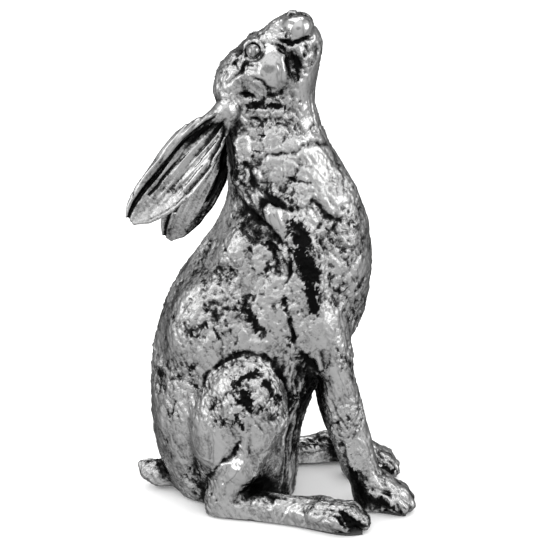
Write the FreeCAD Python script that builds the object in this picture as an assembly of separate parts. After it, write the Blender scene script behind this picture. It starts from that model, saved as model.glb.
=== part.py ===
"""Seated hare figure, looking up: hollow castings pinned and bonded together, on felt pads.

Millimetres, +Z up. The hare faces +X and its left side is +Y. The origin lies on the ground
under the middle of the figure. Every casting follows one sculpted form, which is described by
the ovals below and stretched to the figure's own length, width and height.
"""

import FreeCAD, Part
import math
import os

Vector = FreeCAD.Vector

# the figure's overall size
figure_length = 290.0
figure_width = 214.0
figure_height = 500.0

# the size that the ovals below are written for
drawn_length = 290.0
drawn_width = 214.0
drawn_height = 500.0
stretch = Vector(figure_length / drawn_length, figure_width / drawn_width, figure_height / drawn_height)

# castings
wall = 8.0
neck_wall = 30.0
bond_gap = 0.2
oval_points = 16
neck_level = 388.0

# felt pads
pad_thickness = 2.5
pad_inset = 4.0
pad_end_inset = 9.0

# pins, rods and the bores that they are bonded into
bore_clearance = 0.2
bore_end = 1.5
boss_wall = 6.0
stud_diameter = 12.0
stud_length = 76.0
locating_diameter = 6.0
locating_length = 24.0
locating_spread = 22.0
ear_pin_diameter = 5.0
ear_pin_length = 34.0
rod_diameter = 8.0
rod_foot_level = 30.0
rod_top_level = 196.0
haunch_pin_diameter = 8.0
haunch_pin_length = 26.0
haunch_joint_y = 60.0
haunch_joints = [(-46, 76), (-20, 118)]
tail_pin_diameter = 6.0
tail_pin_length = 30.0

# moulding hole in the base and its plug
plug_diameter = 42.0
plug_flange_diameter = 54.0
plug_flange_thickness = 4.0
plug_depth = 13.0
plug_clearance = 0.3
plug_centre_x = -42.0

# eyes
eye_diameter = 15.0
eye_clearance = 0.1

# trunk, neck and head: height, back, front, middle y and half width of each level oval
body_levels = [
    (-8, -98, 21, 0, 44),
    (22, -114, 24, 0, 55),
    (60, -125, 26, 0, 63),
    (104, -128, 37, 0, 66),
    (140, -126, 54, 0, 66),
    (175, -120, 79, 0, 64),
    (210, -110, 94, 0, 61),
    (245, -92, 97, 0, 57),
    (278, -63, 95, 0, 51),
    (310, -48, 87, 0, 45),
    (345, -46, 69, 0, 38),
    (375, -49, 51, 0, 34),
    (400, -55, 42, 0, 33),
    (420, -59, 39, 0, 35),
    (440, -55, 41, 0, 36),
    (460, -44, 44, 0, 33),
    (476, -27, 46, 0, 26),
    (489, -6, 44, 0, 19),
    (498, 9, 38, 0, 12),
    (500, 17, 31, 0, 6),
]

# thigh and shin of the left hind leg
haunch_levels = [
    (173, -34, -22, 50, 5),
    (166, -47, -8, 52, 15),
    (147, -66, 8, 54, 26),
    (124, -76, 13, 54, 32),
    (98, -79, 13, 55, 34),
    (70, -76, 4, 56, 32),
    (40, -70, -14, 57, 25),
    (12, -66, -28, 58, 19),
    (-8, -64, -34, 58, 16),
]

# the left foreleg, from inside the chest down to the wrist
foreleg_levels = [
    (214, 44, 66, 29, 11),
    (178, 41, 78, 33, 18),
    (146, 46, 82, 35, 18),
    (112, 51, 90, 35, 17),
    (80, 58, 98, 36, 16),
    (48, 68, 108, 37, 15),
    (20, 80, 118, 38, 16),
    (-8, 88, 124, 38, 15),
]

# the left hind foot and forepaw: x, middle y, half width and top of each upright oval
hind_foot_spans = [
    (-67, 56, 8, 12),
    (-54, 57, 16, 30),
    (-20, 63, 17, 32),
    (25, 73, 16, 31),
    (55, 83, 19, 31),
    (78, 88, 19, 27),
    (93, 88, 14, 18),
    (101, 87, 6, 8),
]
forepaw_spans = [
    (82, 37, 8, 22),
    (92, 37, 14, 44),
    (110, 39, 18, 44),
    (128, 42, 20, 36),
    (140, 45, 15, 22),
    (145, 46, 7, 10),
]
foot_sink = 7.0

# the left foreleg stands this much further back than the right one
left_foreleg_set_back = 14.0

# ears: root, tip and outward face of each blade, and the half sizes of blade and cup
ear_reach = {
    "left": (Vector(-40, 22, 420), Vector(-112, 40, 266), Vector(0.35, 1, 0.1)),
    "right": (Vector(-40, -22, 424), Vector(-138, -46, 311), Vector(-0.15, -1, -0.15)),
}
ear_half_width = 24.0
ear_half_thickness = 11.0
ear_rim = 5.0
cup_offset = 6.0
ear_stalk_radius = 11.0

# tail: middle and half sizes, and its lift from level
tail_middle = Vector(-116.5, 0, 19)
tail_half = Vector(29, 17, 14)
tail_lift_degrees = 12.0

# head details, each on both sides: middle and half sizes
muzzle_pad = (Vector(26, 11, 486), Vector(15, 12, 14))
cheek = (Vector(-4, 20, 441), Vector(33, 19, 27))
brow = (Vector(-20, 15, 470), Vector(16, 11, 11))
eye_middle = Vector(-19, 25, 467)

sides = {"left": 1, "right": -1}


def at(point, side=1):
    """A point of the drawn form, stretched to the figure's size and put on one side."""
    return Vector(point.x * stretch.x, point.y * side * stretch.y, point.z * stretch.z)


def oval(middle, half_a, half_b):
    """A closed smooth wire round middle, with half_a and half_b reaching from it to its vertices."""
    turns = [2 * math.pi * i / oval_points for i in range(oval_points)]
    points = [middle + half_a * math.cos(t) + half_b * math.sin(t) for t in turns]
    knots = [i / oval_points for i in range(oval_points + 1)]
    curve = Part.BSplineCurve()
    curve.interpolate(Points=points, PeriodicFlag=True, Parameters=knots)
    return Part.Wire([curve.toShape()])


def level_form(levels, side=1, grow=0.0):
    """The solid through level ovals, made thicker all round by grow."""
    wires = []
    for height, back, front, middle_y, half_width in levels:
        middle = at(Vector((back + front) / 2, middle_y, height), side)
        half_x = Vector((front - back) / 2 * stretch.x + grow, 0, 0)
        half_y = Vector(0, half_width * stretch.y + grow, 0)
        wires.append(oval(middle, half_x, half_y))
    return Part.makeLoft(wires, True, False)


def foot_form(spans, side, grow=0.0):
    """The solid through upright ovals along a foot, which reaches below the ground."""
    wires = []
    for x, middle_y, half_width, top in spans:
        middle = at(Vector(x, middle_y, top / 2 - foot_sink), side)
        half_y = Vector(0, half_width * stretch.y + grow, 0)
        half_z = Vector(0, 0, (top / 2 + foot_sink) * stretch.z + grow)
        wires.append(oval(middle, half_y, half_z))
    return Part.makeLoft(wires, True, False)


def ellipsoid(middle, axes):
    """An ellipsoid round middle, with the three half axes as vectors."""
    a, b, c = axes
    matrix = FreeCAD.Matrix(
        a.x, b.x, c.x, middle.x,
        a.y, b.y, c.y, middle.y,
        a.z, b.z, c.z, middle.z,
        0, 0, 0, 1,
    )
    return Part.makeSphere(1.0).transformGeometry(matrix)


def level_ellipsoid(middle, half, side=1):
    """An ellipsoid of the drawn form whose axes lie along X, Y and Z."""
    reach = at(half)
    axes = [Vector(reach.x, 0, 0), Vector(0, reach.y, 0), Vector(0, 0, reach.z)]
    return ellipsoid(at(middle, side), axes)


def slab(bottom, top):
    """All the space between two levels."""
    reach = 4 * (figure_length + figure_width)
    return Part.makeBox(2 * reach, 2 * reach, top - bottom, Vector(-reach, -reach, bottom))


def above(level):
    """All the space above a level."""
    return slab(level, level + 4 * figure_height)


def rod(middle, direction, diameter, length):
    """A round rod with its middle and direction given."""
    way = Vector(direction).normalize()
    return Part.makeCylinder(diameter / 2, length, middle - way * (length / 2), way)


class Pin:
    """A round pin bonded across a joint between two castings."""

    def __init__(self, middle, direction, diameter, length):
        self.middle = middle
        self.direction = direction
        self.diameter = diameter
        self.length = length

    def solid(self):
        return rod(self.middle, self.direction, self.diameter, self.length)

    def bore(self):
        return rod(self.middle, self.direction, self.diameter + bore_clearance, self.length + 2 * bore_end)

    def boss(self):
        length = self.length + 4 * bore_end + boss_wall
        return rod(self.middle, self.direction, self.diameter + 2 * boss_wall, length)


def neck_pins():
    """The stud up the middle of the neck, and the two locating pins beside it."""
    joint = at(Vector(-6, 0, neck_level))
    up = Vector(0, 0, 1)
    stud = Pin(joint, up, stud_diameter, stud_length)
    locating = []
    for way in (-1, 1):
        place = joint + Vector(way * locating_spread, 0, 0)
        locating.append(Pin(place, up, locating_diameter, locating_length))
    return stud, locating


def ear_pin(name):
    """The pin from the head into the root of one ear."""
    root, tip, face = ear_reach[name]
    way = (at(tip) - at(root)).normalize()
    return Pin(at(root) + way * ear_pin_length * 0.55, way, ear_pin_diameter, ear_pin_length)


def foreleg_stance(side):
    """How far one foreleg is moved from where its ovals are drawn."""
    return Vector(-left_foreleg_set_back if side > 0 else 0, 0, 0)


def foreleg_rod(side):
    """The armature rod from the chest down the middle of one foreleg."""
    foot = at(Vector(94, 37, rod_foot_level), side) + foreleg_stance(side)
    top = at(Vector(58, 34, rod_top_level), side) + foreleg_stance(side)
    return Pin((foot + top) / 2, top - foot, rod_diameter, (top - foot).Length)


def haunch_pins(side):
    """Two pins that hold one hind leg against the flank."""
    pins = []
    for x, z in haunch_joints:
        joint = at(Vector(x, haunch_joint_y, z), side)
        pins.append(Pin(joint, Vector(0, side, 0), haunch_pin_diameter, haunch_pin_length))
    return pins


def tail_pin():
    """The pin that holds the tail against the rump."""
    return Pin(at(Vector(-112, 0, 22)), Vector(1, 0, 0), tail_pin_diameter, tail_pin_length)


def largest(shape):
    """The one solid that a casting is, without slivers from the cuts."""
    return max(shape.Solids, key=lambda solid: solid.Volume)


def fused(shapes):
    """One solid from shapes that run into each other."""
    return largest(shapes[0].multiFuse(shapes[1:]))


def cut_all(shape, tools):
    """The shape without any of the tools."""
    for tool in tools:
        shape = shape.cut(tool)
    return shape


def body_form(grow=0.0):
    """Trunk, neck and head in one piece."""
    return level_form(body_levels, grow=grow)


def eye_form(side, grow=0.0):
    """The bead of one eye, or its socket."""
    return Part.makeSphere(eye_diameter / 2 + grow, at(eye_middle, side))


def head_form(grow=0.0, sockets=()):
    """The head above the neck joint, with its muzzle, cheeks and brows, each form cut by the sockets."""
    joint = neck_level * stretch.z
    parts = [body_form(grow).common(above(joint))]
    for side in sides.values():
        for middle, half in (muzzle_pad, cheek, brow):
            parts.append(level_ellipsoid(middle, half + Vector(grow, grow, grow), side))
    return fused([cut_all(part, sockets) for part in parts])


def torso_casting():
    """The hollow body, closed at the neck and open at the moulding hole in its base."""
    joint = neck_level * stretch.z
    skin = body_form().common(slab(pad_thickness, joint))
    cavity = body_form(-wall).common(slab(pad_thickness + wall, joint - neck_wall))
    stud, locating = neck_pins()
    pins = [stud, tail_pin()] + locating
    for side in sides.values():
        pins += haunch_pins(side) + [foreleg_rod(side)]
    cavity = cut_all(cavity, [pin.boss() for pin in pins])
    hollow = skin.cut(largest(cavity))
    hollow = cut_all(hollow, [pin.bore() for pin in pins])
    return largest(hollow.cut(plug_form(plug_clearance)))


def plug_form(grow=0.0):
    """The flanged plug of the moulding hole, set flush with the base."""
    base = Vector(plug_centre_x * stretch.x, 0, pad_thickness)
    flange = Part.makeCylinder(plug_flange_diameter / 2 + grow, plug_flange_thickness + grow, base)
    neck = Part.makeCylinder(plug_diameter / 2 + grow, plug_depth, base)
    return flange.fuse(neck).removeSplitter()


def head_casting():
    """The head, bored for the neck pins and ear pins, with a socket for each eye."""
    stud, locating = neck_pins()
    bores = [pin.bore() for pin in [stud] + locating + [ear_pin(name) for name in sides]]
    sockets = [eye_form(side, eye_clearance) for side in sides.values()]
    return largest(cut_all(head_form(sockets=sockets), bores))


def ear_casting(name):
    """One ear: a long leaf, cupped on its outward face, on a short stalk."""
    root, tip, face = ear_reach[name]
    root = at(root)
    tip = at(tip)
    along = (tip - root).normalize()
    across = along.cross(face).normalize()
    out = across.cross(along).normalize()
    half_length = (tip - root).Length / 2
    middle = (root + tip) / 2
    blade = ellipsoid(middle, [along * half_length, across * ear_half_width, out * ear_half_thickness])
    cup_half_length = half_length - 3 * ear_rim
    cup_axes = [along * cup_half_length, across * (ear_half_width - ear_rim), out * ear_half_thickness]
    cup = ellipsoid(middle + out * cup_offset + along * ear_rim, cup_axes)
    stalk_axes = [along * ear_pin_length, across * ear_stalk_radius, out * ear_stalk_radius]
    stalk = ellipsoid(root + along * ear_pin_length * 0.6, stalk_axes)
    leaf = blade.cut(cup).fuse(stalk)
    return largest(cut_all(leaf, [body_form(bond_gap), head_form(bond_gap), ear_pin(name).bore()]))


def foreleg_form(side, grow=0.0):
    """One foreleg with its paw."""
    form = fused([level_form(foreleg_levels, side, grow), foot_form(forepaw_spans, side, grow)])
    return form.translated(foreleg_stance(side))


def hind_leg_form(side, grow=0.0):
    """One hind leg: thigh, shin and long foot."""
    return fused([level_form(haunch_levels, side, grow), foot_form(hind_foot_spans, side, grow)])


def limb_casting(form, pins):
    """A limb above its pad, fitted against the body."""
    limb = form.common(above(pad_thickness))
    limb = limb.cut(body_form(bond_gap))
    return largest(cut_all(limb, [pin.bore() for pin in pins]))


def tail_casting():
    """The tail, a rounded tuft behind the rump that clears the ground."""
    lift = math.radians(tail_lift_degrees)
    axes = [
        Vector(-math.cos(lift), 0, math.sin(lift)) * (tail_half.x * stretch.x),
        Vector(0, tail_half.y * stretch.y, 0),
        Vector(math.sin(lift), 0, math.cos(lift)) * (tail_half.z * stretch.z),
    ]
    return limb_casting(ellipsoid(at(tail_middle), axes), [tail_pin()])


def sole_pad(spans, side):
    """A felt pad under one foot, set in from its sides and ends and clear of the body's own pad."""
    back = spans[0][0] * stretch.x + pad_end_inset
    front = spans[-1][0] * stretch.x - pad_end_inset
    extent = Part.makeBox(front - back, 2 * figure_width, pad_thickness, Vector(back, -figure_width, 0))
    pad = foot_form(spans, side, -pad_inset).common(extent)
    if spans is forepaw_spans:
        pad = pad.translated(foreleg_stance(side))
    return largest(pad.cut(body_form(bond_gap)))


def build():
    """Every node of the figure by name."""
    stud, locating = neck_pins()
    nodes = {
        "torso_casting": torso_casting(),
        "head_casting": head_casting(),
        "tail_casting": tail_casting(),
        "base_plug": plug_form(),
        "torso_base_pad": body_form(-pad_inset).common(slab(0, pad_thickness)),
        "neck_stud": stud.solid(),
        "neck_locating_pins": Part.makeCompound([pin.solid() for pin in locating]),
        "tail_pin": tail_pin().solid(),
    }
    for name, side in sides.items():
        legs = foreleg_rod(side)
        haunch = haunch_pins(side)
        nodes[name + "_ear_casting"] = ear_casting(name)
        nodes[name + "_ear_pin"] = ear_pin(name).solid()
        nodes[name + "_eye_bead"] = eye_form(side)
        nodes[name + "_foreleg_casting"] = limb_casting(foreleg_form(side), [legs])
        nodes[name + "_foreleg_rod"] = legs.solid()
        nodes[name + "_fore_paw_pad"] = sole_pad(forepaw_spans, side)
        nodes[name + "_hind_leg_casting"] = limb_casting(hind_leg_form(side), haunch)
        nodes[name + "_haunch_pins"] = Part.makeCompound([pin.solid() for pin in haunch])
        nodes[name + "_hind_foot_pad"] = sole_pad(hind_foot_spans, side)
    return nodes


os.makedirs("parts", exist_ok=True)
for node, shape in build().items():
    shape.exportStep("parts/" + node + ".step")
    print(node, len(shape.Solids), "solids", round(shape.Volume / 1000, 1), "cm3")
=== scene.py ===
"""Seated hare figure, looking up, in bright antique silver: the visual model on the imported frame.

The figure is modelled as one smooth field in millimetres: below zero inside, above zero outside.
Each casting is the part of that field on its own side of the joints, turned into a closed mesh,
and then worked over with creases and tool marks. The hare faces +X and its left side is +Y.
"""
import math

import bpy
import numpy as np
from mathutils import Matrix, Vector


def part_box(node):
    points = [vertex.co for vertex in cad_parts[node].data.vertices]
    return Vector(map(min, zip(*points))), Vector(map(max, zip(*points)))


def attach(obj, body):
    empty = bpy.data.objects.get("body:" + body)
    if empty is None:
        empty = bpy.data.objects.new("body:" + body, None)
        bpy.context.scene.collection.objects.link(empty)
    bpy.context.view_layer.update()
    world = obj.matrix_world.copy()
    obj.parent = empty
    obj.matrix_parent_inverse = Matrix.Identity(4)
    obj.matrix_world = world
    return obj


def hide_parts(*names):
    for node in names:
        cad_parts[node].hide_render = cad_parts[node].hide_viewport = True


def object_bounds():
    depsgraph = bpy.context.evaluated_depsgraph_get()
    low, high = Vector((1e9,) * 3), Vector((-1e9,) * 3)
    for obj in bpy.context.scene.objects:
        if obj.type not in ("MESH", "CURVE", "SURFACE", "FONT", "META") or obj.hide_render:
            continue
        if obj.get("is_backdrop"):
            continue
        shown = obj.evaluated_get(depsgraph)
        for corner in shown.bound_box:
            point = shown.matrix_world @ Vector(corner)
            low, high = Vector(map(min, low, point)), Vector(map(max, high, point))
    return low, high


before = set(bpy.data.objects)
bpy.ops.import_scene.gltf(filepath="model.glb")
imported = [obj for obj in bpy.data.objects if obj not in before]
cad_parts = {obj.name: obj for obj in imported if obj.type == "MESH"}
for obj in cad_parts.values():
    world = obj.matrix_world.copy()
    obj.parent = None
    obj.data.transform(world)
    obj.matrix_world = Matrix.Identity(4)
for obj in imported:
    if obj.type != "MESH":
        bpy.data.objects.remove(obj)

cad_low, cad_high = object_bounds()

# the figure is described at this size, in millimetres, and stretched to the frame's
DRAWN = np.array([290.0, 214.0, 500.0])
STRETCH = (np.array(cad_high) - np.array(cad_low)) / DRAWN
CENTRE = np.array([(cad_low.x + cad_high.x) / 2, (cad_low.y + cad_high.y) / 2, cad_low.z])

PAD = (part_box("torso_base_pad")[1].z - cad_low.z) / STRETCH[2]
NECK = (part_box("head_casting")[0].z - cad_low.z) / STRETCH[2]

TORSO_STEP = 1.7
FINE_STEP = 1.15

# how far out a place on the skin looks for its neighbours, to tell how sheltered it is
NEAR_LOOK = 9
WIDE_LOOK = 26


def to_frame(points):
    """Figure millimetres as a place in the frame, in metres."""
    return points * STRETCH + CENTRE


# ---------------------------------------------------------------- shapes of the field

def smooth_step(low, high, value):
    """From 0 at low to 1 at high, easing in and out."""
    t = np.clip((value - low) / (high - low), 0, 1)
    return t * t * (3 - 2 * t)


def spline(table, column, at):
    """A smooth curve through one column of a table, whose first column is the position."""
    knots = np.array([row[0] for row in table], float)
    values = np.array([row[column] for row in table], float)
    slopes = np.gradient(values, knots)
    i = np.clip(np.searchsorted(knots, at) - 1, 0, len(knots) - 2)
    span = knots[i + 1] - knots[i]
    t = np.clip((at - knots[i]) / span, 0, 1)
    a = (1 + 2 * t) * (1 - t) ** 2 * values[i] + t * t * (3 - 2 * t) * values[i + 1]
    return a + span * (t * (1 - t) ** 2 * slopes[i] - t * t * (1 - t) * slopes[i + 1])


def round_distance(u, v, w, a, b, c):
    """Near enough the distance from an ellipsoid with these half sizes."""
    k0 = np.sqrt((u / a) ** 2 + (v / b) ** 2 + (w / c) ** 2)
    k1 = np.sqrt((u / a ** 2) ** 2 + (v / b ** 2) ** 2 + (w / c ** 2) ** 2)
    return k0 * (k0 - 1) / np.maximum(k1, 1e-6)


def ellipsoid(p, middle, half, lean=0.0):
    """An ellipsoid that leans by some degrees about Y, from +Z towards +X."""
    x, y, z = p[0] - middle[0], p[1] - middle[1], p[2] - middle[2]
    if lean:
        c, s = math.cos(math.radians(lean)), math.sin(math.radians(lean))
        x, z = c * x - s * z, s * x + c * z
    return round_distance(x, y, z, *half)


def capsule(p, a, b, radius_a, radius_b):
    """A round bar whose radius changes evenly from a to b."""
    ab = [b[i] - a[i] for i in range(3)]
    length2 = sum(d * d for d in ab)
    t = sum((p[i] - a[i]) * ab[i] for i in range(3)) / length2
    t = np.clip(t, 0, 1)
    away = sum((p[i] - a[i] - t * ab[i]) ** 2 for i in range(3))
    return np.sqrt(away) - (radius_a + t * (radius_b - radius_a))


def limb(p, stations, blend=3.0):
    """Round bars through stations of (point, radius)."""
    form = None
    for (a, radius_a), (b, radius_b) in zip(stations, stations[1:]):
        bar = capsule(p, a, b, radius_a, radius_b)
        form = bar if form is None else join(form, bar, blend)
    return form


def levels(p, table):
    """A body through level ovals: height, back, front, middle y and half width."""
    z = np.clip(p[2], table[0][0], table[-1][0])
    back = spline(table, 1, z)
    front = spline(table, 2, z)
    middle_y = spline(table, 3, z)
    half_y = np.maximum(spline(table, 4, z), 2)
    half_x = np.maximum((front - back) / 2, 2)
    oval = round_distance(p[0] - (front + back) / 2, p[1] - middle_y, 0 * z, half_x, half_y, 1)
    return np.maximum(oval, p[2] - table[-1][0])


def spans(p, table, sink):
    """A foot through upright ovals: x, middle y, half width and top."""
    x = np.clip(p[0], table[0][0], table[-1][0])
    middle_y = spline(table, 1, x)
    half_y = np.maximum(spline(table, 2, x), 2)
    top = spline(table, 3, x)
    oval = round_distance(p[1] - middle_y, p[2] - (top / 2 - sink), 0 * x, half_y, top / 2 + sink, 1)
    beyond = np.maximum(table[0][0] - p[0], p[0] - table[-1][0])
    return np.maximum(oval, beyond)


def join(a, b, blend):
    """Both shapes, flowing into each other over the blend."""
    h = np.maximum(blend - np.abs(a - b), 0) / blend
    return np.minimum(a, b) - h * h * blend / 4


def carve(a, b, blend):
    """The first shape without the second, with a rounded edge."""
    return -join(-a, b, blend)


# ---------------------------------------------------------------- the hare

BODY_LEVELS = [
    (-8, -98, 21, 0, 44), (22, -114, 24, 0, 55), (60, -125, 26, 0, 62), (104, -128, 37, 0, 64),
    (140, -126, 54, 0, 63), (175, -122, 79, 0, 60), (210, -111, 92, 0, 56), (245, -92, 94, 0, 52),
    (278, -68, 91, 0, 47), (310, -50, 86, 0, 42), (345, -46, 72, 0, 36), (375, -49, 53, 0, 32),
    (400, -55, 42, 0, 30), (420, -58, 39, 0, 31), (440, -55, 41, 0, 32), (460, -44, 44, 0, 30),
    (476, -24, 43, 0, 24), (487, -5, 38, 0, 18), (495, 5, 30, 0, 12), (501, 13, 22, 0, 6),
]

FORELEG_LEVELS = [
    (-8, 90, 122, 38, 14), (20, 82, 117, 38, 15), (48, 69, 108, 37, 14), (80, 58, 98, 36, 15),
    (112, 51, 90, 35, 16), (146, 46, 82, 35, 17), (178, 41, 77, 33, 18), (214, 44, 66, 29, 12),
]

HIND_FOOT_SPANS = [
    (-66, 57, 9, 14), (-54, 57, 15, 28), (-20, 63, 15, 29), (25, 73, 15, 28), (50, 80, 17, 29),
    (68, 84, 17, 24), (80, 85, 10, 12),
]

HIND_TOES = [
    [((44, 90, 16), 9.0), ((66, 99, 15), 8.5), ((76, 100, 10), 7.5)],
    [((50, 85, 21), 9.5), ((80, 92, 19), 9.0), ((93, 93, 10), 7.5)],
    [((50, 78, 21), 9.0), ((80, 82, 19), 8.5), ((93, 83, 10), 7.5)],
    [((44, 71, 16), 8.0), ((66, 72, 15), 8.0), ((80, 73, 10), 7.0)],
]

FORE_TOES = [
    [((104, 48, 20), 9.5), ((124, 53, 14), 9.0), ((132, 54, 8), 8.0)],
    [((108, 43, 29), 10), ((130, 46, 18), 9.5), ((137, 47, 9), 8.5)],
    [((108, 34, 29), 9.5), ((130, 34, 18), 9.0), ((137, 34, 9), 8.5)],
    [((102, 28, 20), 8.5), ((120, 25, 14), 8.5), ((128, 24, 8), 8.0)],
]


def mirrored(p, side):
    """The point as seen by a shape drawn on the left."""
    return p[0], p[1] * side, p[2]


def toe_row(p, toes):
    """Toes side by side, with a sharp gap between them."""
    form = None
    for toe in toes:
        bar = limb(p, toe)
        form = bar if form is None else join(form, bar, 0.9)
    return form


def hind_leg(p):
    """The left haunch, shin and long foot."""
    thigh = ellipsoid(p, (-28, 53, 117), (42, 33, 56))
    rump = ellipsoid(p, (-54, 46, 84), (30, 34, 60), -6)
    form = join(thigh, rump, 9)
    shin = limb(p, [((-6, 62, 104), 21), ((-30, 64, 58), 19), ((-50, 59, 22), 16)], 6)
    form = join(form, shin, 6)
    foot = spans(p, HIND_FOOT_SPANS, 7)
    foot = join(foot, ellipsoid(p, (-52, 57, 12), (16, 14, 18)), 6)
    foot = join(foot, toe_row(p, HIND_TOES), 4)
    return join(form, foot, 7)


def foreleg(p):
    """The left foreleg and paw."""
    form = levels(p, FORELEG_LEVELS)
    paw = ellipsoid(p, (106, 38, 18), (24, 15, 25), -14)
    form = join(form, paw, 6)
    return join(form, toe_row(p, FORE_TOES), 4)


def tail(p):
    """A tuft behind the rump, with its tip turned up."""
    return limb(p, [((-98, 0, 18), 16), ((-122, 0, 16), 13.5), ((-132, 0, 19), 10), ((-140, 0, 25), 4)], 5)


def shoulders(p, form):
    """Shoulder, upper arm and the band of muscle down the neck, on the left."""
    arm = limb(p, [((14, 31, 312), 15), ((26, 36, 270), 18), ((44, 36, 200), 19), ((54, 35, 165), 17)], 8)
    form = join(form, arm, 12)
    band = limb(p, [((-36, 20, 400), 10), ((-26, 27, 345), 12), ((-8, 33, 300), 12), ((2, 35, 262), 10)], 8)
    form = join(form, band, 7)
    blade = ellipsoid(p, (-30, 33, 268), (24, 18, 42), 22)
    form = join(form, blade, 10)
    point = ellipsoid(p, (2, 45, 308), (9, 6, 19), -24)
    form = join(form, point, 3)
    ribs = ellipsoid(p, (-56, 34, 190), (48, 28, 60), 12)
    return join(form, ribs, 14)


def face(p, form):
    """Cheek, eye, brow, muzzle and mouth, on the left."""
    form = join(form, ellipsoid(p, (-6, 24, 449), (27, 15, 22), -8), 4)
    form = join(form, ellipsoid(p, (-36, 16, 440), (19, 17, 30), 30), 8)
    form = join(form, limb(p, [((-29, 19, 467.5), 4), ((-18, 19, 472), 4.5), ((-6, 16, 476.5), 4)]), 4)
    form = join(form, limb(p, [((-21, 9, 469), 8), ((3, 7, 484), 7), ((13, 6, 491), 6)]), 6)
    form = carve(form, ellipsoid(p, (-19, 31, 467.5), (10, 9, 9.5)), 3)
    form = join(form, eyelids(p), 1.5)
    form = carve(form, ellipsoid(p, (20, 29, 455), (7, 7, 14), -16), 6)
    form = carve(form, ellipsoid(p, (5, 27, 478), (12, 5, 4), 70), 4)
    form = join(form, ellipsoid(p, (22, 11.5, 487.5), (15, 12, 12.5)), 2.5)
    return join(form, ellipsoid(p, (27, 9, 470), (12, 10, 9)), 4)


def eyelids(p):
    """A rolled rim round the eye bead."""
    x, y, z = p[0] + 19.0, p[1] - 25.5, p[2] - 467.5
    out = np.array([-0.2, 0.95, 0.24])
    out /= np.linalg.norm(out)
    axial = x * out[0] + y * out[1] + z * out[2]
    radial = np.sqrt(np.maximum(x * x + y * y + z * z - axial ** 2, 0))
    return np.sqrt((radial - 9.2) ** 2 + (axial - 0.5) ** 2) - 2.3


def core(p):
    """Trunk, neck and head."""
    form = levels(p, BODY_LEVELS)
    form = join(form, limb(p, [((-20, 0, 470), 8.5), ((5, 0, 487.5), 8), ((15, 0, 495), 6)]), 5)
    form = join(form, ellipsoid(p, (32, 0, 470), (13.5, 14, 15)), 4)
    form = join(form, ellipsoid(p, (61, 0, 262), (33, 34, 70), 0), 12)
    for side in (1, -1):
        q = mirrored(p, side)
        form = shoulders(q, form)
        form = face(q, form)
    return form


# ears: where each blade starts and ends, and the way its cup opens
EAR_REACH = {
    "left": ((-47, 25, 400), (-113, 41, 263), (0.30, 1.0, 0.10)),
    "right": ((-45, -29, 411), (-137, -47, 306), (-0.10, -1.0, -0.05)),
}

# blade of an ear, from its root (0) to its tip (1): half width, sideways shift of its middle, depth of
# the cup, radius of the rolled rim and radius of the thin rim
EAR_SHAPE = [
    (0.00, 7.5, -1.0, 1.0, 5.5, 4.0), (0.10, 12.0, -2.0, 6.0, 6.2, 2.8), (0.27, 20.0, -1.5, 9.5, 6.2, 1.9),
    (0.46, 24.0, -3.5, 9.0, 5.2, 1.7), (0.66, 22.0, -4.0, 7.0, 3.8, 1.6), (0.84, 17.5, -2.5, 4.5, 2.6, 1.5),
    (0.95, 11.0, -1.0, 2.0, 2.0, 1.5), (1.00, 5.0, 0.0, 0.5, 1.7, 1.5),
]
EAR_SHEET = 1.9


def ear_place(p, name):
    """A point as share of the ear's length, and its place across and out of the blade."""
    root, tip, face_way = (np.array(v, float) for v in EAR_REACH[name])
    length = np.linalg.norm(tip - root)
    along = (tip - root) / length
    across = np.cross(along, face_way)
    across /= np.linalg.norm(across)
    across *= np.sign(across[2])
    out = np.cross(along, across)
    out *= np.sign(out @ face_way)
    away = [p[i] - root[i] for i in range(3)]
    share, side, rise = (sum(away[i] * way[i] for i in range(3)) for way in (along, across, out))
    return share / length, side, rise, length


def ear(p, name):
    """One long ear: a cupped leaf with one rolled rim, on a thick root."""
    share, side, rise, length = ear_place(p, name)
    t = np.clip(share, 0, 1)
    half, shift, cup, rolled, thin = (spline(EAR_SHAPE, column, t) for column in range(1, 6))
    half = np.maximum(half, 1)
    beyond = (share - t) * length
    u = (side - shift) / half
    inner = np.clip(u, -1, 1)
    sheet = -cup * (1 - np.abs(inner) ** 2.4)
    over = (np.abs(u) - np.abs(inner)) * half
    leaf = np.sqrt(beyond ** 2 + over ** 2 + 0.8 * (rise - sheet) ** 2) - EAR_SHEET
    past_edge = side - shift - half + rolled * 0.6
    rim_up = np.sqrt(beyond ** 2 + past_edge ** 2 + (rise - rolled * 0.3) ** 2) - rolled
    rim_low = np.sqrt(beyond ** 2 + (side - shift + half - thin * 0.5) ** 2 + rise ** 2) - thin
    form = join(join(leaf, rim_up, 1.5), rim_low, 2)
    root = np.array(EAR_REACH[name][0], float)
    tip = np.array(EAR_REACH[name][1], float)
    inside = np.array([-30.0, 15.0 * np.sign(root[1]), 428.0])
    stalk = limb(p, [(inside, 13), (root, 10), (root + 0.05 * (tip - root), 6)], 4)
    return join(form, stalk, 9)


# the left foreleg stands further back than the right one, as its pad does
PAW_SHIFT = (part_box("left_fore_paw_pad")[1].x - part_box("right_fore_paw_pad")[1].x) / STRETCH[0]


def left_foreleg(p):
    """The left foreleg where it stands."""
    return foreleg((p[0] - PAW_SHIFT, p[1], p[2]))


LIMBS = {
    "left_ear": (lambda p: ear(p, "left"), 5.0),
    "right_ear": (lambda p: ear(p, "right"), 5.0),
    "left_hind_leg": (lambda p: hind_leg(mirrored(p, 1)), 5.0),
    "right_hind_leg": (lambda p: hind_leg(mirrored(p, -1)), 5.0),
    "left_foreleg": (left_foreleg, 12.0),
    "right_foreleg": (lambda p: foreleg(mirrored(p, -1)), 12.0),
    "tail": (tail, 7.0),
}


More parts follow.
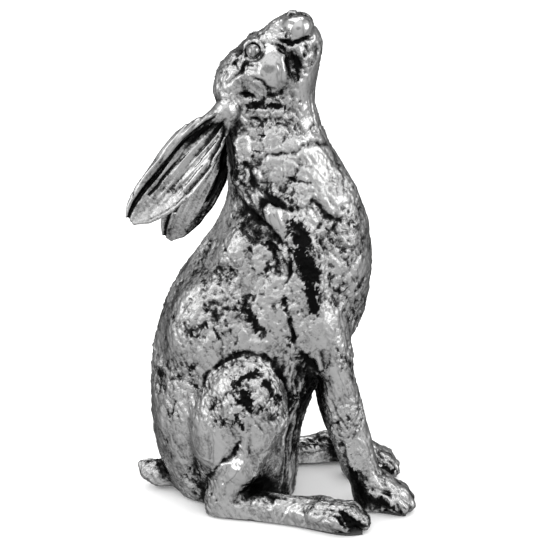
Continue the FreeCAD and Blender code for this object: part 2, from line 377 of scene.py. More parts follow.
def whole(p):
    """The whole figure, and the field of each part by name for finding the joints."""
    forms = {"core": core(p)}
    figure = forms["core"]
    for name, (limb_form, blend) in LIMBS.items():
        forms[name] = limb_form(p)
        figure = join(figure, forms[name], blend)
    return figure, forms


def own_side(forms, name):
    """Below zero where the named part is nearer than every other part."""
    others = [form for other, form in forms.items() if other != name]
    return (forms[name] - np.min(others, axis=0)) / 2


def part_bounds(name):
    """The figure's skin, then each surface that cuts one part from its neighbours."""
    def bounds(p):
        figure, forms = whole(p)
        cuts = [figure, PAD - p[2], own_side(forms, "core" if name in ("torso", "head") else name)]
        if name == "torso":
            cuts.append(p[2] - NECK)
        if name == "head":
            cuts[1] = NECK - p[2]
        return cuts
    return bounds


# ---------------------------------------------------------------- from field to mesh

def grid_points(low, step, index):
    """The places of grid indices."""
    return [low[i] + step * index[i] for i in range(3)]


def sample(bounds, low, high, step):
    """The field and its owning surface on a grid; worked out closely only near the surface."""
    shape = np.ceil((high - low) / step).astype(int) + 1
    stride = 5
    rough_axes = [np.arange(0, n + stride, stride) for n in shape]
    rough_index = np.meshgrid(*rough_axes, indexing="ij")
    rough = np.max(bounds(grid_points(low, step, rough_index)), axis=0)
    near = np.abs(rough) < 1.6 * stride * step
    value = np.kron(rough, np.ones((stride,) * 3, np.float32))
    close = np.kron(near, np.ones((stride,) * 3, bool))
    shift = stride // 2
    value = value[shift:shift + shape[0], shift:shift + shape[1], shift:shift + shape[2]]
    close = close[shift:shift + shape[0], shift:shift + shape[1], shift:shift + shape[2]]
    owner = np.zeros(shape, np.int8)
    index = np.nonzero(close)
    fields = np.array(bounds(grid_points(low, step, index)), np.float32)
    value = value.astype(np.float32)
    value[index] = fields.max(axis=0)
    owner[index] = fields.argmax(axis=0)
    return value, owner


def surface_net(value, owner, low, step):
    """Vertices, quads and the surfaces that each vertex lies on, from a sampled field."""
    inside = value < 0
    cells = tuple(n - 1 for n in value.shape)
    total = np.zeros(cells + (3,), np.float32)
    count = np.zeros(cells, np.int16)
    marks = np.zeros(cells, np.int32)
    crossings = []
    for axis in range(3):
        first = [slice(None)] * 3
        second = [slice(None)] * 3
        first[axis] = slice(0, -1)
        second[axis] = slice(1, None)
        va, vb = value[tuple(first)], value[tuple(second)]
        change = inside[tuple(first)] != inside[tuple(second)]
        index = np.array(np.nonzero(change))
        a, b = va[change], vb[change]
        t = a / (a - b)
        outside_owner = np.where(a > b, owner[tuple(first)][change], owner[tuple(second)][change])
        point = index.T.astype(np.float32)
        point[:, axis] += t
        others = [i for i in range(3) if i != axis]
        corners = []
        for du in (-1, 0):
            for dv in (-1, 0):
                cell = index.copy()
                cell[others[0]] += du
                cell[others[1]] += dv
                corners.append(cell)
        fits = np.ones(index.shape[1], bool)
        for cell in corners:
            for i in range(3):
                fits &= (cell[i] >= 0) & (cell[i] < cells[i])
        for cell in corners:
            place = tuple(cell[:, fits])
            for i in range(3):
                np.add.at(total[..., i], place, point[fits][:, i])
            np.add.at(count, place, 1)
            np.bitwise_or.at(marks, place, 1 << outside_owner[fits].astype(np.int32))
        crossings.append((axis, [cell[:, fits] for cell in corners], inside[tuple(first)][change][fits]))
    used = np.nonzero(count)
    number = np.full(cells, -1, np.int64)
    number[used] = np.arange(len(used[0]))
    vertices = total[used] / count[used][:, None] * step + low
    quads = []
    for axis, corners, starts_inside in crossings:
        a, b, c, d = (number[tuple(cell)] for cell in corners)
        ring = np.stack([a, b, d, c], axis=1)
        flip = starts_inside if axis != 1 else ~starts_inside
        ring[~flip] = ring[~flip][:, ::-1]
        quads.append(ring)
    return vertices.astype(float), np.concatenate(quads), marks[used]


def slope(field, points, step=0.25):
    """The gradient of a field at points."""
    here = field(points.T)
    gradient = np.empty(points.shape)
    for i in range(3):
        moved = points.T.copy()
        moved[i] += step
        gradient[:, i] = (field(moved) - here) / step
    return gradient


def project(bounds, vertices, marks, rounds):
    """Moves each vertex onto the surfaces that it belongs to."""
    for turn in range(rounds):
        surfaces = np.array(bounds(vertices.T))
        step = 0.25
        moved = []
        for i in range(3):
            q = vertices.T.copy()
            q[i] += step
            moved.append((np.array(bounds(q)) - surfaces) / step)
        gradient = np.stack(moved, axis=2)
        for k in range(len(surfaces)):
            on = (marks >> k) & 1 == 1
            if not on.any():
                continue
            g = gradient[k][on]
            size2 = np.maximum((g ** 2).sum(1), 0.05)
            vertices[on] -= (surfaces[k][on] / size2)[:, None] * g
            for j in range(k + 1, len(surfaces)):
                drop = (gradient[j][on] * g).sum(1) / size2 * surfaces[k][on]
                surfaces[j][on] -= drop
    return vertices


def relax(vertices, quads, marks, amount=0.6):
    """Evens out the mesh within each surface, leaving the joints' edges in place."""
    total = np.zeros_like(vertices)
    count = np.zeros(len(vertices))
    for a, b in ((0, 1), (1, 2), (2, 3), (3, 0)):
        for i, j in ((a, b), (b, a)):
            for axis in range(3):
                total[:, axis] += np.bincount(quads[:, i], vertices[quads[:, j], axis], len(vertices))
            count += np.bincount(quads[:, i], minlength=len(vertices))
    single = (marks & (marks - 1)) == 0
    mean = total / np.maximum(count, 1)[:, None]
    vertices[single] += amount * (mean - vertices)[single]
    return vertices


def mesh_object(name, vertices, quads, layers):
    """A Blender object from figure millimetres, with each layer of values kept as an attribute."""
    mesh = bpy.data.meshes.new(name)
    placed = to_frame(vertices)
    mesh.vertices.add(len(placed))
    mesh.vertices.foreach_set("co", placed.astype(np.float32).ravel())
    mesh.loops.add(quads.size)
    mesh.loops.foreach_set("vertex_index", quads.astype(np.int32).ravel())
    mesh.polygons.add(len(quads))
    mesh.polygons.foreach_set("loop_start", np.arange(0, quads.size, 4, dtype=np.int32))
    mesh.update(calc_edges=True)
    mesh.validate()
    for layer, values in layers.items():
        attribute = mesh.attributes.new(layer, "FLOAT", "POINT")
        attribute.data.foreach_set("value", values.astype(np.float32))
    mesh.polygons.foreach_set("use_smooth", np.ones(len(mesh.polygons), bool))
    mesh.set_sharp_from_angle(angle=math.radians(70))
    piece = bpy.data.objects.new(name, mesh)
    bpy.context.scene.collection.objects.link(piece)
    return piece


# ---------------------------------------------------------------- tool marks

class Lattice:
    """Seeded noise and cells in three dimensions."""

    def __init__(self, seed):
        rng = np.random.default_rng(seed)
        self.order = rng.permutation(256)
        slopes = rng.normal(size=(256, 3))
        self.slopes = slopes / np.linalg.norm(slopes, axis=1)[:, None]
        self.spots = rng.random((256, 4))

    def key(self, i, j, k):
        """A number from 0 to 255 for each grid corner."""
        return self.order[(self.order[(self.order[i & 255] + j) & 255] + k) & 255]

    def noise(self, x, y, z):
        """Smooth noise, about -1 to 1, with features one unit across."""
        whole_part = [np.floor(v).astype(int) for v in (x, y, z)]
        part = [v - w for v, w in zip((x, y, z), whole_part)]
        fade = [t * t * t * (t * (t * 6 - 15) + 10) for t in part]
        total = np.zeros_like(part[0])
        for corner in range(8):
            step = [(corner >> i) & 1 for i in range(3)]
            slope_here = self.slopes[self.key(*(w + s for w, s in zip(whole_part, step)))]
            weight = 1.0
            dot = 0.0
            for i in range(3):
                weight = weight * (fade[i] if step[i] else 1 - fade[i])
                dot = dot + slope_here[:, i] * (part[i] - step[i])
            total += weight * dot
        return total * 1.6

    def cells(self, x, y, z):
        """Distances to the two nearest of one random spot a unit, and the nearest spot's numbers."""
        whole_part = [np.floor(v).astype(int) for v in (x, y, z)]
        first = np.full(x.shape, 9.0)
        second = np.full(x.shape, 9.0)
        nearest = np.zeros(x.shape, int)
        for di in (-1, 0, 1):
            for dj in (-1, 0, 1):
                for dk in (-1, 0, 1):
                    i, j, k = whole_part[0] + di, whole_part[1] + dj, whole_part[2] + dk
                    key = self.key(i, j, k)
                    spot = self.spots[key]
                    offset = spot[:, :3] + np.stack([i - x, j - y, k - z], axis=1)
                    away = np.linalg.norm(offset, axis=1)
                    closer = away < first
                    second = np.where(closer, first, np.minimum(second, away))
                    nearest = np.where(closer, key, nearest)
                    first = np.where(closer, away, first)
        return first, second, nearest


def octaves(lattice, x, y, z, count, fall=0.55):
    """Noise with finer noise on it."""
    total = 0
    for octave in range(count):
        scale = 2.03 ** octave
        total = total + fall ** octave * lattice.noise(x * scale + 17 * octave, y * scale, z * scale)
    return total


def line_distance(x, z, points):
    """Distance in side view from a line through points, and how far along it (0 to 1) that is."""
    best = np.full(x.shape, 1e9)
    along = np.zeros(x.shape)
    pieces = len(points) - 1
    for i in range(pieces):
        (ax, az), (bx, bz) = points[i], points[i + 1]
        dx, dz = bx - ax, bz - az
        t = np.clip(((x - ax) * dx + (z - az) * dz) / (dx * dx + dz * dz), 0, 1)
        away = np.hypot(x - ax - t * dx, z - az - t * dz)
        closer = away < best
        along = np.where(closer, (i + t) / pieces, along)
        best = np.minimum(best, away)
    return best, along


# creases (above zero) and ridges (below zero), drawn in side view: points, width and depth
CREASES = {
    "torso": [
        ([(-38, 335), (-36, 326), (-26, 319), (-17, 310), (-5, 303), (3, 292), (15, 281), (18, 259),
          (12, 240), (12, 217)], 1.9, 2.2),
        ([(12, 231), (14, 218), (20, 198), (25, 178), (37, 163), (44, 152)], 1.9, 2.8),
        ([(-3, 329), (7, 324), (18, 318), (31, 318), (38, 325), (47, 319), (56, 307), (66, 305)], 2.2, 2.4),
        ([(-6, 367), (3, 370), (22, 370), (27, 376), (40, 378), (52, 376), (61, 370)], 2.0, 2.8),
        ([(12, 347), (24, 344), (37, 341)], 1.8, 2.0),
        ([(-26, 365), (-21, 356), (-19, 342)], 2.4, 2.6),
        ([(-30, 379), (-27, 357), (-27, 338), (-19, 318), (-11, 305)], 2.6, 1.6),
        ([(-64, 201), (-47, 201), (-31, 203), (-26, 195)], 3.0, -1.6),
        ([(-26, 184), (-16, 187), (-4, 187)], 2.4, -1.4),
        ([(-26, 231), (-23, 211), (-19, 192)], 3.4, 2.0),
        ([(-67, 136), (-66, 151), (-50, 165), (-30, 176), (-14, 175), (-1, 166), (10, 147), (16, 126),
          (16, 110), (10, 92)], 2.4, 2.2),
    ],
    "hind_leg": [
        ([(-29, 93), (-36, 77), (-49, 65), (-59, 52), (-65, 42), (-68, 27)], 1.9, 2.2),
        ([(-19, 121), (-20, 100), (-22, 83), (-24, 70)], 1.7, 1.2),
        ([(-33, 122), (-29, 100), (-24, 70), (-36, 52), (-52, 40)], 3.4, -1.4),
        ([(-86, 69), (-81, 62), (-72, 60)], 2.0, 1.2),
        ([(-12, 28), (14, 27), (40, 25)], 1.6, 0.9),
        ([(56, 27), (66, 21), (79, 11), (80, 3)], 1.5, 2.4),
        ([(69, 25), (84, 16), (93, 8)], 1.3, 1.8),
    ],
    "head": [
        ([(-20, 444), (-11, 441), (-6, 435), (0, 433)], 1.5, 2.6),
        ([(3, 478), (13, 477), (18, 474), (25, 477), (36, 480)], 1.5, 3.2),
        ([(-3, 475), (6, 472), (10, 469), (15, 466)], 1.3, 2.0),
        ([(-44, 436), (-37, 444), (-29, 449), (-26, 456)], 1.8, 1.5),
        ([(-27, 457), (-20, 456), (-13, 455)], 1.5, 2.0),
        ([(-34, 428), (-22, 426), (-10, 423.5), (3, 426), (10, 432)], 1.8, 1.9),
        ([(-22, 413), (-13, 412), (-1, 409), (11, 412)], 1.8, -1.3),
        ([(-26, 404), (-10, 402), (6, 403)], 1.8, 1.5),
    ],
    "foreleg": [
        ([(56, 150), (60, 120), (66, 92), (72, 66), (82, 40)], 2.0, 0.9),
        ([(112, 27), (122, 21), (129, 12), (130, 3)], 1.4, 2.2),
    ],
    "tail": [],
    "ear": [],
}

# places in side view that the maker left smooth: x, height, reach and how smooth
SMOOTH = [
    (-4, 450, 24, 0.85), (22, 488, 17, 0.95), (38, 430, 22, 0.6), (-66, 82, 34, 0.75), (-36, 55, 26, 0.7),
    (2, 78, 26, 0.6), (3, 308, 12, 0.8), (20, 18, 46, 0.6), (-48, 372, 12, 0.6), (60, 150, 18, 0.5),
    (84, 80, 26, 0.45), (-100, 160, 18, 0.35), (70, 18, 26, 0.45), (44, 180, 20, 0.5), (56, 215, 16, 0.6),
]

# places where the clay was left rough: x, height, reach and how rough
ROUGH = [
    (-22, 135, 26, 0.9), (-8, 150, 18, 0.6), (-48, 110, 16, 0.8), (-88, 150, 20, 0.9), (-10, 275, 26, 0.8),
    (-60, 205, 34, 0.7), (0, 240, 20, 0.6), (52, 290, 24, 0.7), (60, 230, 26, 0.6), (-2, 405, 22, 1.0),
    (22, 450, 10, 0.8), (-30, 345, 18, 0.7), (25, 185, 24, 0.7), (38, 262, 24, 0.8),
    (24, 300, 16, 0.9), (-26, 225, 14, 0.9),
]


def spots(x, z, table):
    """How strongly the soft round spots of a table cover each place."""
    cover = np.zeros(x.shape)
    for middle_x, middle_z, reach, strength in table:
        away2 = ((x - middle_x) ** 2 + (z - middle_z) ** 2) / reach ** 2
        cover = np.maximum(cover, strength * np.exp(-away2 * 1.4))
    return cover


# painted dark reflections of the surroundings, fixed in place as black smears, drawn in side view: points and
# half width
PAINTED_DARK_REFLECTIONS = {
    "hind_leg": [
        ([(-38, 148), (-30, 157), (-16, 158)], 4),
        ([(-26, 141), (-20, 128)], 5),
        ([(-8, 150), (2, 142), (6, 130)], 3.5),
        ([(-33, 118), (-28, 107)], 4),
        ([(72, 22), (86, 12)], 3.5),
    ],
    "torso": [
        ([(20, 302), (31, 288)], 8),
        ([(27, 273), (34, 262), (38, 252)], 8.5),
        ([(37, 243), (41, 221)], 6),
        ([(-22, 216), (-14, 205), (-8, 192)], 4.5),
        ([(-28, 398), (-8, 389)], 4),
    ],
    "head": [
        ([(19, 461), (23, 450), (24, 442)], 2.2),
        ([(-24, 417), (6, 415)], 4),
    ],
    "foreleg": [
        ([(80, 50), (84, 38)], 3),
        ([(108, 19), (124, 12)], 3),
    ],
}

CLAY = Lattice(7)
GRAIN = Lattice(21)


def tool_marks(name, p, normals):
    """How far the surface stands out (or in, below zero) from the smooth form, in millimetres."""
    x, y, z = p.T
    bend = [CLAY.noise(x / 22 + o, y / 22, z / 22) for o in (0.0, 31.0, 57.0)]
    wx, wy, wz = (v + 4.0 * b for v, b in zip((x, y, z), bend))
    flow_x, flow_z = wx + 0.35 * wz, wz

    patch = smooth_step(0.0, 0.42, octaves(GRAIN, x / 34, y / 34, z / 34 + 9, 2))
    calm = spots(x, z, SMOOTH)
    wild = np.maximum(0.8 * spots(x, z, ROUGH), 0.5 * patch)
    energy = np.clip(0.36 + 1.0 * wild - 0.65 * calm, 0.05, 1.25)

    # dabs of clay, each pressed on at its own height
    near, second, key = CLAY.cells(wx / 19, wy / 19, flow_z / 25)
    edge = smooth_step(0.0, 0.12, second - near)
    own_height = CLAY.spots[key, 3] - 0.5
    marks = (0.4 + 0.6 * energy) * (2.4 * own_height * edge - 0.8 * (1 - edge) * energy)

    # gentle swells under everything
    marks += 0.9 * octaves(CLAY, x / 30 + 5, y / 30, z / 38, 2) * (1 - 0.7 * calm)

    # rubble where the clay was left rough
    rubble = octaves(GRAIN, wx / 5.2, wy / 5.2, wz / 6.5, 3, 0.6)
    marks += 1.15 * energy * rubble

    # tufts of fur, long in the lie of the coat
    lie_x, lie_z = 0.8 * wx + 0.6 * wz, 0.8 * wz - 0.6 * wx
    tuft = octaves(CLAY, lie_x / 3.2, wy / 4, lie_z / 15, 2, 0.6)
    marks += (0.25 + 0.75 * energy) * (1 - 0.8 * calm) * tuft

    # short strokes of a tool, along the lie of the fur
    stroke = GRAIN.noise(flow_x / 3.4, wy / 3.4, flow_z / 17)
    marks -= (0.35 + 0.9 * energy) * smooth_step(0.30, 0.75, stroke)

    # pits
    near, second, key = GRAIN.cells(wx / 8.5, wy / 8.5, wz / 8.5)
    chosen = GRAIN.spots[key, 3] < 0.16 + 0.25 * wild
    marks -= chosen * (1.5 - 0.8 * calm) * smooth_step(0.30, 0.12, near)

    # long strands down the belly and the backs of the legs
    strand = CLAY.noise(wx / 3.6, wy / 3.6, wz / 42)
    belly = smooth_step(190, 150, z) * smooth_step(0, 16, x) * (name == "torso")
    marks += belly * (2.4 * strand + 0.9 * GRAIN.noise(wx / 2.2, wy / 2.2, wz / 26) - 0.9)

    if name == "ear":
        marks = 0.22 * marks + ear_wrinkles(p, "left" if y.mean() > 0 else "right")
        energy = 0.35 * energy + 0.12

    side_on = smooth_step(0.12, 0.5, np.abs(normals[:, 1]))
    wander_x = x + 2.0 * GRAIN.noise(x / 9, y / 9, z / 9) + 1.2 * CLAY.noise(x / 3.5, y / 3.5, z / 3.5)
    wander_z = z + 2.0 * GRAIN.noise(x / 9 + 40, y / 9, z / 9)
    for points, width, depth in CREASES[name]:
        away, along = line_distance(wander_x, wander_z, points)
        swell = np.clip(0.8 + 0.7 * GRAIN.noise(x / 7, y / 7, z / 7 + depth), 0.15, 1.5)
        taper = smooth_step(-0.02, 0.10, along) * smooth_step(1.02, 0.90, along)
        marks -= side_on * depth * swell * (0.35 + 0.65 * taper) * np.exp(-(away / width) ** 2)
        if depth > 0:
            lip = np.exp(-((away - 2.1 * width) / width) ** 2)
            marks += 0.12 * depth * side_on * swell * lip
    return marks, energy


def painted_dark_reflections(kind, p):
    """How much blacker the colour is made in the smears of painted dark reflection, which have ragged edges.
    """
    x, y, z = p.T
    bent_x = x + 3.5 * CLAY.noise(x / 9 + 3, y / 9, z / 9)
    bent_z = z + 3.5 * CLAY.noise(x / 9 + 17, y / 9, z / 9)
    grain = octaves(GRAIN, x / 3, y / 3, z / 4, 3)
    dark = np.zeros(x.shape)
    for points, width in PAINTED_DARK_REFLECTIONS.get(kind, []):
        away = line_distance(bent_x, bent_z, points)[0]
        cover = np.exp(-(away / width) ** 2) + 0.45 * grain
        dark = np.maximum(dark, smooth_step(0.42, 0.60, cover) * (away < 2 * width))
    return 0.42 * dark


def ear_wrinkles(p, name):
    """Long folds down the cup of an ear, deepest by its root."""
    share, side, rise, length = ear_place(p.T, name)
    folds = CLAY.noise(side / 4.2, share * 3.2, 0 * side + 3)
    folds += 0.5 * GRAIN.noise(side / 1.9, share * 6, 0 * side)
    share = np.clip(share, 0, 1)
    half, shift = (spline(EAR_SHAPE, column, share) for column in (1, 2))
    front = smooth_step(-9, -4, rise + 3.5)
    lowered = (side - shift - 0.60 * half) / 1.7
    inner = (side - shift - 0.30 * half - 1.5 * CLAY.noise(share * 9, 0 * side, 0 * side)) / 1.3
    behind_rim = (side - shift + 0.80 * half) / 1.4
    grooves = 2.6 * np.exp(-lowered ** 2) + 1.5 * np.exp(-inner ** 2) * (share < 0.8)
    grooves += 1.5 * np.exp(-behind_rim ** 2) * (share < 0.62)
    fold_depth = 1.6 * smooth_step(1.0, 0.35, share) + 0.25
    cupped = front * smooth_step(0.03, 0.15, share)
    return (0.12 + 0.88 * cupped) * fold_depth * folds - cupped * grooves


def cast(part, low, high, step):
    """One casting: sampled, meshed, evened out and worked over. Also gives its patina with painted shade and
    painted dark reflections, and its roughness.
    """
    bounds = part_bounds(part)
    value, owner = sample(bounds, low, high, step)
    vertices, quads, marks = surface_net(value, owner, low, step)
    vertices = project(bounds, vertices, marks, 2)
    for turn in range(2):
        vertices = relax(vertices, quads, marks)
        vertices = project(bounds, vertices, marks, 1)
    skin = (marks & 1) == 1
    gradient = slope(lambda p: whole(p)[0], vertices[skin])
    normals = gradient / np.linalg.norm(gradient, axis=1)[:, None]
    kind = part.replace("left_", "").replace("right_", "")
    height, energy = tool_marks(kind, vertices[skin], normals)
    # how open the skin is close by and how sheltered it is further out, used below to darken the colour:
    # partly patina in the hollows, partly painted shade
    openness = whole((vertices[skin] + NEAR_LOOK * normals).T)[0] / NEAR_LOOK
    shelter = 1 - np.clip(whole((vertices[skin] + WIDE_LOOK * normals).T)[0] / WIDE_LOOK, 0, 1)
    vertices[skin] += height[:, None] * normals
    vertices[:, 2] = np.maximum(vertices[:, 2], PAD)
    patina_shade_and_reflection = np.full(len(vertices), 0.5)
    rough = np.full(len(vertices), 0.5)
    rough[skin] = energy
    # darker in the tool marks' recesses (patina) and where neighbours hem in or shelter the skin (partly
    # patina in the hollows, partly painted shade)
    patina_shade_and_reflection[skin] = 0.58 + 0.17 * height + 0.45 * (np.clip(openness, 0.1, 1.0) - 1.0) - 0.30 * shelter
    # painted dark reflections: black smears fixed in place on the skin
    patina_shade_and_reflection[skin] -= painted_dark_reflections(kind, vertices[skin])
    return vertices, quads, {"patina_shade_and_reflection": patina_shade_and_reflection, "rough": rough}


# ---------------------------------------------------------------- materials

def node_adder(tree):
    """A helper that adds a node to a tree and links or sets its inputs."""
    def add(kind, links=(), **values):
        node = tree.nodes.new(kind)
        for key, value in values.items():
            setattr(node, key, value)
        for socket, source in links:
            if isinstance(source, bpy.types.NodeSocket):
                tree.links.new(source, node.inputs[socket])
            else:
                node.inputs[socket].default_value = source
        return node
    return add


def node_material(name):
    """A new material with its shader and helpers that add nodes and link them to the shader."""
    material = bpy.data.materials.new(name)
    material.use_nodes = True
    tree = material.node_tree
    shader = tree.nodes["Principled BSDF"]
    add = node_adder(tree)

    def link(source, socket):
        tree.links.new(source, shader.inputs[socket])

    return material, shader, add, link


def ramp(node, stops):
    """Sets a colour ramp's stops from (position, grey) pairs."""
    elements = node.color_ramp.elements
    while len(elements) > len(stops):
        elements.remove(elements[-1])
    while len(elements) < len(stops):
        elements.new(0.5)
    for element, (position, grey) in zip(elements, stops):
        element.position = position
        element.color = (grey, grey, grey, 1) if isinstance(grey, float) else grey
    return node


def antique_silver():
    """Bright plating with black patina in the recesses, painted shade where the skin is sheltered, painted
    dark reflections in fixed smears, and fine tool marks.
    """
    material, shader, add, link = node_material("antique_silver")
    shader.inputs["Metallic"].default_value = 1.0
    place = add("ShaderNodeTexCoord").outputs["Object"]
    # the per-vertex patina, with painted shade and painted dark reflections mixed in; it darkens the base
    # colour
    patina_shade_and_reflection = add("ShaderNodeAttribute", attribute_name="patina_shade_and_reflection").outputs["Fac"]
    fine = add("ShaderNodeTexNoise",
               [("Vector", place), ("Scale", 380.0), ("Detail", 6.0), ("Roughness", 0.65)])
    broad = add("ShaderNodeTexNoise",
                [("Vector", place), ("Scale", 70.0), ("Detail", 4.0), ("Roughness", 0.6)])
    speckle_shade_and_reflection = add("ShaderNodeMath", [(0, fine.outputs["Fac"]), (1, 0.55), (2, patina_shade_and_reflection)],
                  operation="MULTIPLY_ADD")
    stain_shade_and_reflection = add("ShaderNodeMath", [(0, broad.outputs["Fac"]), (1, 0.35), (2, speckle_shade_and_reflection.outputs[0])],
                operation="MULTIPLY_ADD")
    wildness = add("ShaderNodeAttribute", attribute_name="rough").outputs["Fac"]
    blotch = add("ShaderNodeTexNoise", [("Vector", place), ("Scale", 130.0), ("Detail", 5.0),
                                        ("Roughness", 0.6), ("Distortion", 0.6)])
    patch = ramp(add("ShaderNodeValToRGB", [("Fac", blotch.outputs["Fac"])]), [(0.50, 0.0), (0.66, 1.0)])
    loss = add("ShaderNodeMath", [(0, patch.outputs["Color"]), (1, wildness)], operation="MULTIPLY")
    stain_shade_and_reflection = add("ShaderNodeMath", [(0, loss.outputs[0]), (1, -0.38), (2, stain_shade_and_reflection.outputs[0])],
                operation="MULTIPLY_ADD")
    tone = ramp(add("ShaderNodeValToRGB", [("Fac", stain_shade_and_reflection.outputs[0])]),
                [(0.62, 0.010), (0.76, 0.07), (0.88, 0.52), (1.0, 0.84)])
    link(tone.outputs["Color"], "Base Color")
    rough = ramp(add("ShaderNodeValToRGB", [("Fac", stain_shade_and_reflection.outputs[0])]),
                 [(0.6, 0.38), (0.85, 0.16), (1.0, 0.09)])
    link(rough.outputs["Color"], "Roughness")
    chips = add("ShaderNodeTexVoronoi", [("Vector", place), ("Scale", 260.0)], feature="SMOOTH_F1")
    grit = add("ShaderNodeMath", [(0, fine.outputs["Fac"]), (1, chips.outputs["Distance"])], operation="ADD")
    relief = add("ShaderNodeMath", [(0, grit.outputs[0]), (1, wildness)], operation="MULTIPLY")
    bump = add("ShaderNodeBump", [("Height", relief.outputs[0]), ("Strength", 0.8), ("Distance", 0.0014)])
    link(bump.outputs["Normal"], "Normal")
    return material


def polished_bead():
    """A bright bead with a little tarnish."""
    material, shader, add, link = node_material("polished_bead")
    shader.inputs["Metallic"].default_value = 1.0
    place = add("ShaderNodeTexCoord").outputs["Object"]
    tarnish = add("ShaderNodeTexNoise", [("Vector", place), ("Scale", 300.0), ("Detail", 4.0)])
    tone = ramp(add("ShaderNodeValToRGB", [("Fac", tarnish.outputs["Fac"])]), [(0.35, 0.25), (0.6, 0.72)])
    link(tone.outputs["Color"], "Base Color")
    rough = ramp(add("ShaderNodeValToRGB", [("Fac", tarnish.outputs["Fac"])]), [(0.3, 0.22), (0.7, 0.08)])
    link(rough.outputs["Color"], "Roughness")
    return material


def steel_pin():
    """Drawn steel with a fine grain."""
    material, shader, add, link = node_material("steel_pin")
    shader.inputs["Metallic"].default_value = 1.0
    place = add("ShaderNodeTexCoord").outputs["Object"]
    grain = add("ShaderNodeTexNoise", [("Vector", place), ("Scale", 900.0), ("Detail", 3.0)])
    tone = ramp(add("ShaderNodeValToRGB", [("Fac", grain.outputs["Fac"])]), [(0.3, 0.42), (0.7, 0.58)])
    link(tone.outputs["Color"], "Base Color")
    rough = ramp(add("ShaderNodeValToRGB", [("Fac", grain.outputs["Fac"])]), [(0.3, 0.45), (0.7, 0.28)])
    link(rough.outputs["Color"], "Roughness")
    return material


def plug_plastic():
    """Dark moulded plastic with a fine spark-eroded grain."""
    material, shader, add, link = node_material("plug_plastic")
    place = add("ShaderNodeTexCoord").outputs["Object"]
    grain = add("ShaderNodeTexNoise", [("Vector", place), ("Scale", 1500.0), ("Detail", 3.0)])
    tone = ramp(add("ShaderNodeValToRGB", [("Fac", grain.outputs["Fac"])]), [(0.3, 0.030), (0.7, 0.045)])
    link(tone.outputs["Color"], "Base Color")
    shader.inputs["Roughness"].default_value = 0.55
    bump = add("ShaderNodeBump", [("Height", grain.outputs["Fac"]), ("Strength", 0.3), ("Distance", 0.0003)])
    link(bump.outputs["Normal"], "Normal")
    return material


def black_felt():
    """Pressed wool felt: matt, with matted fibres."""
    material, shader, add, link = node_material("black_felt")
    shader.inputs["Roughness"].default_value = 0.95
    shader.inputs["Specular IOR Level"].default_value = 0.15
    shader.inputs["Sheen Weight"].default_value = 0.25
    place = add("ShaderNodeTexCoord").outputs["Object"]
    fibres = add("ShaderNodeTexNoise",
                 [("Vector", place), ("Scale", 1100.0), ("Detail", 6.0), ("Distortion", 2.0)])
    tone = ramp(add("ShaderNodeValToRGB", [("Fac", fibres.outputs["Fac"])]), [(0.3, 0.018), (0.75, 0.06)])
    link(tone.outputs["Color"], "Base Color")
    bump = add("ShaderNodeBump", [("Height", fibres.outputs["Fac"]), ("Strength", 0.7), ("Distance", 0.0005)])
    link(bump.outputs["Normal"], "Normal")
    return material


silver = antique_silver()

# each casting with the corners of the box that it is sampled in, and the spacing of the samples
CASTINGS = [
    ("torso", (-134, -78, -4), (106, 78, 392), TORSO_STEP),
    ("head", (-72, -50, 384), (56, 50, 510), FINE_STEP),
    ("tail", (-150, -26, -4), (-80, 26, 44), FINE_STEP),
    ("left_ear", (-126, 6, 248), (-22, 62, 446), FINE_STEP),
    ("right_ear", (-152, -68, 292), (-20, -6, 448), FINE_STEP),
]
for side_name, side in (("left", 1), ("right", -1)):
    for limb_name, low, high in (
        ("hind_leg", (-98, 4, -4), (114, 118, 184)),
        ("foreleg", (28, 0, -4), (158, 78, 228)),
    ):
        ys = sorted((low[1] * side, high[1] * side))
        corners = (low[0], ys[0], low[2]), (high[0], ys[1], high[2])
        CASTINGS.append((side_name + "_" + limb_name, *corners, FINE_STEP))


def place(piece, node, slot, material):
    """Gives a piece its material and makes it stand for its node."""
    piece.data.materials.append(material)
    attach(piece, "root")
    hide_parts(node)


for part, low, high, step in CASTINGS:
    vertices, quads, layers = cast(part, np.array(low, float), np.array(high, float), step)
    piece = mesh_object(part + "_skin", vertices, quads, layers)
    place(piece, part + "_casting", "antique_silver", silver)

# the CAD nodes that stay in view or inside, by the end of their name
KEPT = [
    (("eye_bead",), polished_bead()),
    (("pin", "pins", "rod", "stud"), steel_pin()),
    (("plug",), plug_plastic()),
    (("pad",), black_felt()),
]
for node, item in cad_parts.items():
    for endings, material in KEPT:
        if node.endswith(endings):
            item.data.materials.clear()
            item.data.materials.append(material)

# ---------------------------------------------------------------- camera, light and floor

camera_data = bpy.data.cameras.new("camera")
camera = bpy.data.objects.new("camera", camera_data)
bpy.context.scene.collection.objects.link(camera)
camera_data.lens = 100
camera_data.sensor_width = 36
distance = 1.538
target = Vector((0, 0, 0.237))
elevation = math.radians(18)
azimuth = math.radians(3)
level = math.cos(elevation)
back = Vector((math.sin(azimuth) * level, -math.cos(azimuth) * level, math.sin(elevation)))
camera.location = target + back * distance
camera.rotation_euler = back.to_track_quat("Z", "Y").to_euler()
bpy.context.scene.camera = camera


# light on the floor: enough to bring it near the white behind it
FLOOR_LIGHT = 1.7
FLOOR_HALF = 6


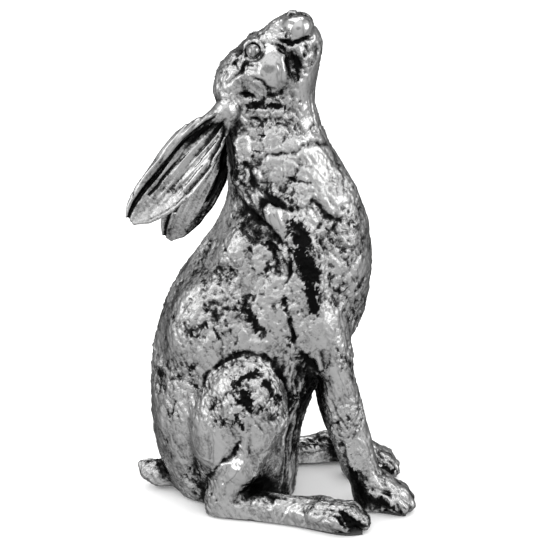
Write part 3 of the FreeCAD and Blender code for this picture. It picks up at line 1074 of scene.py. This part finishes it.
def plain_floor():
    """A large pale floor, bright enough to meet the white background."""
    mesh = bpy.data.meshes.new("floor")
    half = FLOOR_HALF
    corners = [(-half, -half, 0), (half, -half, 0), (half, half, 0), (-half, half, 0)]
    mesh.from_pydata(corners, [], [(0, 1, 2, 3)])
    floor = bpy.data.objects.new("floor", mesh)
    bpy.context.scene.collection.objects.link(floor)
    material, shader, add, link = node_material("floor")
    shader.inputs["Base Color"].default_value = (0.9, 0.9, 0.9, 1)
    shader.inputs["Roughness"].default_value = 0.9
    shader.inputs["Specular IOR Level"].default_value = 0.0
    mesh.materials.append(material)
    floor.visible_glossy = False
    floor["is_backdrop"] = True


def studio_world():
    """Even white light; in gloss, a grey room, brightest overhead and in front, dimmer below and behind."""
    world = bpy.data.worlds.new("world")
    bpy.context.scene.world = world
    world.use_nodes = True
    tree = world.node_tree
    add = node_adder(tree)
    way = add("ShaderNodeTexCoord").outputs["Generated"]
    split = add("ShaderNodeSeparateXYZ", [(0, way)])

    def half(axis):
        return add("ShaderNodeMath", [(0, split.outputs[axis]), (1, 0.5), (2, 0.5)],
                   operation="MULTIPLY_ADD").outputs[0]

    def layer(value, stops, below=None):
        shade = ramp(add("ShaderNodeValToRGB", [("Fac", value)]), stops).outputs["Color"]
        if below is None:
            return shade
        return add("ShaderNodeVectorMath", [(0, shade), (1, below)], operation="MULTIPLY").outputs["Vector"]

    ahead = add("ShaderNodeVectorMath", [(0, way), (1, (0.05, -0.99, 0.06))], operation="DOT_PRODUCT")
    closeness = add("ShaderNodeMath", [(0, ahead.outputs["Value"]), (1, 10.0), (2, -9.0)],
                    operation="MULTIPLY_ADD")
    room = layer(half("Z"), [(0.10, 0.46), (0.40, 0.58), (0.52, 0.68), (0.75, 0.84), (0.95, 0.86)])
    room = layer(half("Y"), [(0.30, 1.0), (0.55, 0.62), (0.75, 0.36), (1.0, 0.32)], room)
    room = layer(half("X"), [(0.0, 0.9), (0.16, 0.9), (0.23, 0.45), (0.31, 0.9), (0.62, 1.0), (0.75, 0.5),
                             (0.84, 0.9)], room)
    room = layer(closeness.outputs[0], [(0.45, 1.0), (0.85, 0.45)], room)
    seen = add("ShaderNodeBackground", [("Color", (1, 1, 1, 1)), ("Strength", FLOOR_LIGHT)])
    mirrored_room = add("ShaderNodeBackground", [("Color", room), ("Strength", 1.0)])
    gloss = add("ShaderNodeLightPath").outputs["Is Glossy Ray"]
    mix = add("ShaderNodeMixShader", [(0, gloss), (1, seen.outputs[0]), (2, mirrored_room.outputs[0])])
    tree.links.new(mix.outputs[0], tree.nodes["World Output"].inputs["Surface"])
    tree.nodes.remove(tree.nodes["Background"])


def card(name, middle, size, facing, strength):
    """A flat lamp that faces a point."""
    light = bpy.data.lights.new(name, "AREA")
    light.shape = "RECTANGLE"
    light.size, light.size_y = size
    light.energy = strength
    lamp = bpy.data.objects.new(name, light)
    lamp.location = middle
    lamp.rotation_euler = (Vector(middle) - Vector(facing)).to_track_quat("Z", "Y").to_euler()
    bpy.context.scene.collection.objects.link(lamp)


plain_floor()
studio_world()
bpy.context.scene.view_settings.view_transform = "Standard"
card("top", (-0.2, 0.2, 1.5), (0.9, 0.9), (0, 0, 0.25), 2.5)
card("left", (-1.2, -1.1, 0.8), (0.9, 1.4), (0, 0, 0.25), 3.5)
card("right", (1.3, -0.7, 0.9), (0.8, 1.2), (0, 0, 0.25), 3)

low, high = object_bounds()
